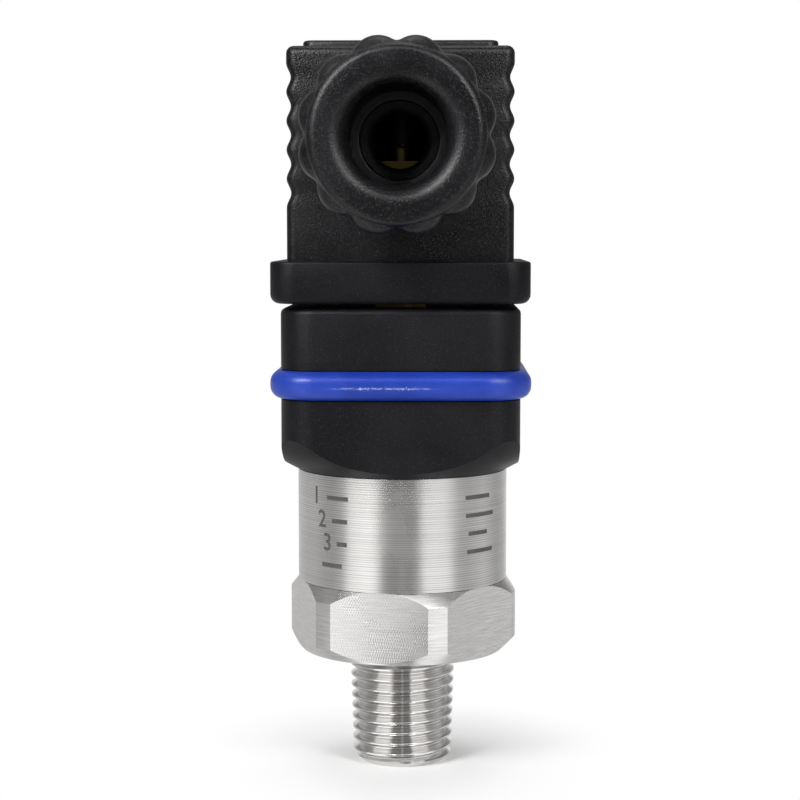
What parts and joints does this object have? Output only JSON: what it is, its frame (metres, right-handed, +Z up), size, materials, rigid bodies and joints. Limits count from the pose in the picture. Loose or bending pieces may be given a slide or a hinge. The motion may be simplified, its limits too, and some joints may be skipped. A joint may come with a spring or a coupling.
{
  "type": "pressure transmitter",
  "caption": "Stainless pressure transmitter with a taper-threaded port and hexagon, a round-to-square housing with a coloured ring, and a right-angle plug with a cable gland.",
  "frame": {"origin": "centre of the pressure port at the lower end face of the taper thread", "axes": "+Z up the measuring axis from the thread to the plug, -Y out of the cable gland, X across the plug"},
  "size_m": [0.0326, 0.0495, 0.0929],
  "materials": {
    "steel_turned": "satin turned stainless steel",
    "steel_case": "finely turned stainless steel",
    "cell_ceramic": "matt sintered",
    "seal_rubber": "matt",
    "tinned_wire": "bright",
    "circuit_board": "satin solder mask",
    "chip_black": "matt",
    "housing_black": "fine grain, matt",
    "ring_blue": "satin",
    "carrier_black": "matt",
    "brass": "satin",
    "blade_brass": "bright",
    "plug_black": "glass-filled grain, satin",
    "gasket_black": "matt",
    "insert_grey": "matt",
    "washer_black": "matt",
    "screw_zinc": "zinc plated"
  },
  "bodies": {
    "transmitter": {"process_connection": "steel_turned", "case_tube": "steel_case", "sensor_cell": "cell_ceramic", "sensor_seal": "seal_rubber", "cell_clamp_ring": "steel_turned", "cell_leads": "tinned_wire", "sensor_board": "circuit_board", "signal_chip": "chip_black", "board_header": "chip_black", "signal_board": "circuit_board", "adapter_housing": "housing_black", "identification_ring": "ring_blue", "contact_carrier": "carrier_black", "screw_insert": "brass", "contact_blade_1": "blade_brass", "contact_blade_2": "blade_brass", "contact_blade_3": "blade_brass", "contact_blade_earth": "blade_brass"},
    "plug": {"plug_housing": "plug_black", "profile_gasket": "gasket_black", "contact_insert": "insert_grey", "gland_seal": "seal_rubber", "terminal_1": "brass", "terminal_2": "brass", "terminal_3": "brass", "terminal_earth": "brass"},
    "washer": {"gland_washer": "washer_black"},
    "nut": {"gland_nut": "plug_black"},
    "screw_ring": {"screw_seal": "seal_rubber"},
    "screw": {"fixing_screw": "screw_zinc"}
  },
  "joints": [
    {"name": "plug_pull", "type": "slide", "parent": "transmitter", "child": "plug", "axis": [0, 0, 1], "range_m": [0, 0.025]},
    {"name": "nut_travel", "type": "slide", "parent": "plug", "child": "washer", "axis": [0, -1, 0], "range_m": [0, 0.00413]},
    {"name": "nut_turn", "type": "hinge", "parent": "washer", "child": "nut", "pos_m": [0, 0, 0.0804], "axis": [0, -1, 0], "range_deg": [0, 990.01]},
    {"name": "screw_travel", "type": "slide", "parent": "plug", "child": "screw_ring", "axis": [0, 0, 1], "range_m": [-0.0055, 0]},
    {"name": "screw_turn", "type": "hinge", "parent": "screw_ring", "child": "screw", "pos_m": [0, 0, 0.09], "axis": [0, 0, 1], "range_deg": [-3960.01, 0]}
  ],
  "couplings": [
    {"joint": "nut_turn", "follows": "nut_travel", "rad_per_m": 4188.8},
    {"joint": "screw_turn", "follows": "screw_travel", "rad_per_m": 12566}
  ]
}
